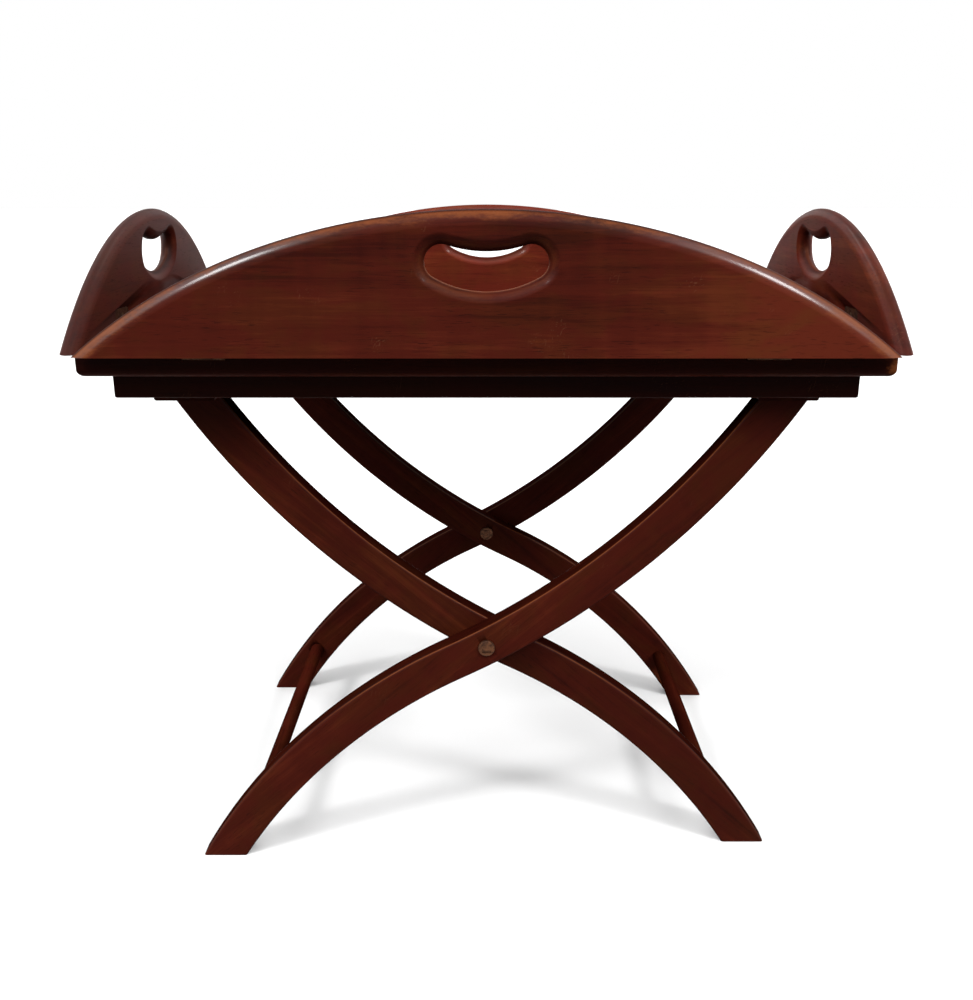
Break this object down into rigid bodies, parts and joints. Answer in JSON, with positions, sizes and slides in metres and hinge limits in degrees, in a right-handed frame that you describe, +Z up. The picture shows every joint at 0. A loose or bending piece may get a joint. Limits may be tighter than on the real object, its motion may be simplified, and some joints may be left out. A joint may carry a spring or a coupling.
{
  "type": "butlers tray table",
  "caption": "Folding butler's tray table: a wooden tray with hinged rounded flaps and kidney hand holes, lifting off a folding stand of crossed S-curved legs.",
  "frame": {"origin": "on the floor under the middle of the tray", "axes": "+X along the tray's long side to the right, +Y to the back, +Z up"},
  "size_m": [0.777, 0.569, 0.6814],
  "materials": {
    "tray_mahogany": "satin french-polished mahogany",
    "batten_mahogany": "satin french-polished mahogany",
    "flap_mahogany": "satin french-polished mahogany",
    "leg_mahogany": "satin french-polished mahogany",
    "rail_mahogany": "satin french-polished mahogany",
    "stretcher_mahogany": "satin french-polished mahogany",
    "hinge_brass": "dull aged brass",
    "leaf_screw_brass": "dull aged brass",
    "pivot_brass": "aged bronzed brass",
    "batten_screw_steel": "dull steel"
  },
  "bodies": {
    "outer_frame": {"outer_leg_front": "leg_mahogany", "outer_leg_rear": "leg_mahogany", "right_top_rail": "rail_mahogany", "left_stretcher": "stretcher_mahogany", "pivot_bolts": "pivot_brass", "pivot_washers": "pivot_brass", "pivot_nuts": "pivot_brass"},
    "inner_frame": {"inner_leg_front": "leg_mahogany", "inner_leg_rear": "leg_mahogany", "left_top_rail": "rail_mahogany", "right_stretcher": "stretcher_mahogany"},
    "tray": {"tray_board": "tray_mahogany", "batten_front": "batten_mahogany", "batten_back": "batten_mahogany", "batten_left": "batten_mahogany", "batten_right": "batten_mahogany", "batten_screws": "batten_screw_steel", "front_hinge_board_leaves": "hinge_brass", "front_board_leaf_screws": "leaf_screw_brass", "front_hinge_pins": "hinge_brass", "back_hinge_board_leaves": "hinge_brass", "back_board_leaf_screws": "leaf_screw_brass", "back_hinge_pins": "hinge_brass", "left_hinge_board_leaves": "hinge_brass", "left_board_leaf_screws": "leaf_screw_brass", "left_hinge_pins": "hinge_brass", "right_hinge_board_leaves": "hinge_brass", "right_board_leaf_screws": "leaf_screw_brass", "right_hinge_pins": "hinge_brass"},
    "front_flap": {"flap_front": "flap_mahogany", "front_hinge_flap_leaves": "hinge_brass", "front_flap_leaf_screws": "leaf_screw_brass"},
    "back_flap": {"flap_back": "flap_mahogany", "back_hinge_flap_leaves": "hinge_brass", "back_flap_leaf_screws": "leaf_screw_brass"},
    "left_flap": {"flap_left": "flap_mahogany", "left_hinge_flap_leaves": "hinge_brass", "left_flap_leaf_screws": "leaf_screw_brass"},
    "right_flap": {"flap_right": "flap_mahogany", "right_hinge_flap_leaves": "hinge_brass", "right_flap_leaf_screws": "leaf_screw_brass"}
  },
  "joints": [
    {"name": "tray_lift", "type": "slide", "parent": "outer_frame", "child": "tray", "axis": [0, 0, 1], "range_m": [0, 0.5]},
    {"name": "stand_fold", "type": "hinge", "parent": "outer_frame", "child": "inner_frame", "pos_m": [0, 0, 0.2465], "axis": [0, 1, 0], "range_deg": [0, 82]},
    {"name": "front_flap_fold", "type": "hinge", "parent": "tray", "child": "front_flap", "pos_m": [0, -0.266, 0.5535], "axis": [1, 0, 0], "range_deg": [0, 93]},
    {"name": "back_flap_fold", "type": "hinge", "parent": "tray", "child": "back_flap", "pos_m": [0, 0.266, 0.5535], "axis": [-1, 0, 0], "range_deg": [0, 93]},
    {"name": "left_flap_fold", "type": "hinge", "parent": "tray", "child": "left_flap", "pos_m": [-0.37, 0, 0.5535], "axis": [0, -1, 0], "range_deg": [0, 93]},
    {"name": "right_flap_fold", "type": "hinge", "parent": "tray", "child": "right_flap", "pos_m": [0.37, 0, 0.5535], "axis": [0, 1, 0], "range_deg": [0, 93]}
  ],
  "couplings": [
    {"joint": "stand_fold", "follows": "tray_lift", "rad_per_m": 2.862}
  ]
}
